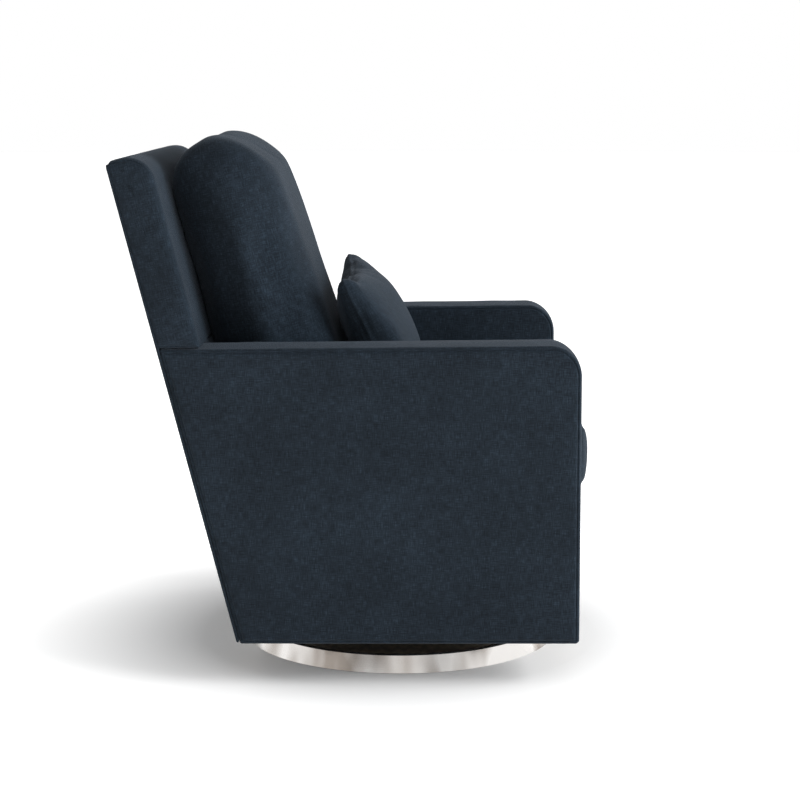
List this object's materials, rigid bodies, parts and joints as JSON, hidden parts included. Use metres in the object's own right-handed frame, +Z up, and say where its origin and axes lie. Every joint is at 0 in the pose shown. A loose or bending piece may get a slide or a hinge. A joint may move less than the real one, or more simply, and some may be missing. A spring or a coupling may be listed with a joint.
{
  "type": "glider nursery chair",
  "caption": "Upholstered track-arm glider armchair with raked back, loose back and seat cushions and a lumbar pillow, swivelling on a low round metal base.",
  "frame": {"origin": "on the floor, on the swivel's vertical axis, at the underside of the base", "axes": "+Z up; +X across the chair to the sitter's left; -Y the way the sitter faces"},
  "size_m": [0.79, 0.9024, 1.0208],
  "materials": {
    "felt": "matte",
    "band_steel": "polished",
    "base_board": "satin",
    "bearing_steel": "satin",
    "cage_plastic": "matte",
    "frame_steel": "satin",
    "link_steel": "satin",
    "bolt_steel": "satin",
    "bumper_rubber": "matte",
    "plywood": "matte",
    "timber": "matte",
    "webbing": "matte",
    "spring_steel": "satin",
    "deck_cloth": "matte",
    "cambric": "matte",
    "upholstery": "matte",
    "foam": "matte",
    "zip": "satin"
  },
  "bodies": {
    "base": {"floor_pad": "felt", "base_band": "band_steel", "base_disc": "base_board", "lower_race": "bearing_steel", "bearing_balls": "bearing_steel", "ball_cage": "cage_plastic", "king_bolt": "bearing_steel", "race_screws": "bearing_steel"},
    "swivel_frame": {"upper_race": "bearing_steel", "mechanism_plate": "frame_steel", "hanger_right": "frame_steel", "hanger_left": "frame_steel", "hanger_tubes": "frame_steel", "upper_pivot_bolts": "bolt_steel", "plate_bolts": "bolt_steel", "stop_bumpers": "bumper_rubber"},
    "front_links": {"link_front_right": "link_steel", "link_front_left": "link_steel", "front_link_bearings": "bearing_steel"},
    "rear_links": {"link_rear_right": "link_steel", "link_rear_left": "link_steel", "rear_link_bearings": "bearing_steel"},
    "chair": {"glide_rail_right": "frame_steel", "glide_rail_left": "frame_steel", "lower_pivot_bolts": "bolt_steel", "rail_bolts": "bolt_steel", "front_rail": "plywood", "rear_rail": "plywood", "lower_side_rails": "timber", "upper_side_rails": "timber", "corner_blocks": "timber", "arm_bolts": "bolt_steel", "arm_frame_right": "plywood", "arm_frame_left": "plywood", "back_posts": "timber", "wing_posts": "timber", "back_top_rail": "timber", "lumbar_rail": "timber", "back_webbing": "webbing", "seat_springs": "spring_steel", "spring_clips": "spring_steel", "seat_deck": "deck_cloth", "dust_cover": "cambric", "arm_cover_right": "upholstery", "arm_cover_left": "upholstery", "front_apron": "upholstery", "back_cover": "upholstery", "outside_back_panel": "upholstery", "back_cushion_foam": "foam", "back_cushion_cover": "upholstery", "back_cushion_zip": "zip"},
    "seat_cushion": {"seat_cushion_foam": "foam", "seat_cushion_cover": "upholstery", "seat_cushion_zip": "zip"},
    "lumbar_pillow": {"lumbar_pillow_fill": "foam", "lumbar_pillow_cover": "upholstery", "lumbar_pillow_zip": "zip"}
  },
  "joints": [
    {"name": "swivel", "type": "hinge", "parent": "base", "child": "swivel_frame", "pos_m": [0, 0, 0.04], "axis": [0, 0, 1], "continuous": true},
    {"name": "glide", "type": "hinge", "parent": "swivel_frame", "child": "front_links", "pos_m": [0, -0.11, 0.22], "axis": [1, 0, 0], "range_deg": [-20, 20]},
    {"name": "front_lower_pivot", "type": "hinge", "parent": "front_links", "child": "chair", "pos_m": [0, -0.11, 0.1], "axis": [1, 0, 0], "range_deg": [-20, 20]},
    {"name": "rear_upper_pivot", "type": "hinge", "parent": "swivel_frame", "child": "rear_links", "pos_m": [0, 0.11, 0.22], "axis": [1, 0, 0], "range_deg": [-20, 20]},
    {"name": "seat_cushion_pull", "type": "slide", "parent": "chair", "child": "seat_cushion", "axis": [0, -1, 0], "range_m": [0, 0.15]},
    {"name": "lumbar_pillow_lift", "type": "slide", "parent": "chair", "child": "lumbar_pillow", "axis": [0, 0, 1], "range_m": [0, 0.3]}
  ],
  "couplings": [
    {"joint": "front_lower_pivot", "follows": "glide", "ratio": -1},
    {"joint": "rear_upper_pivot", "follows": "glide", "ratio": 1}
  ]
}
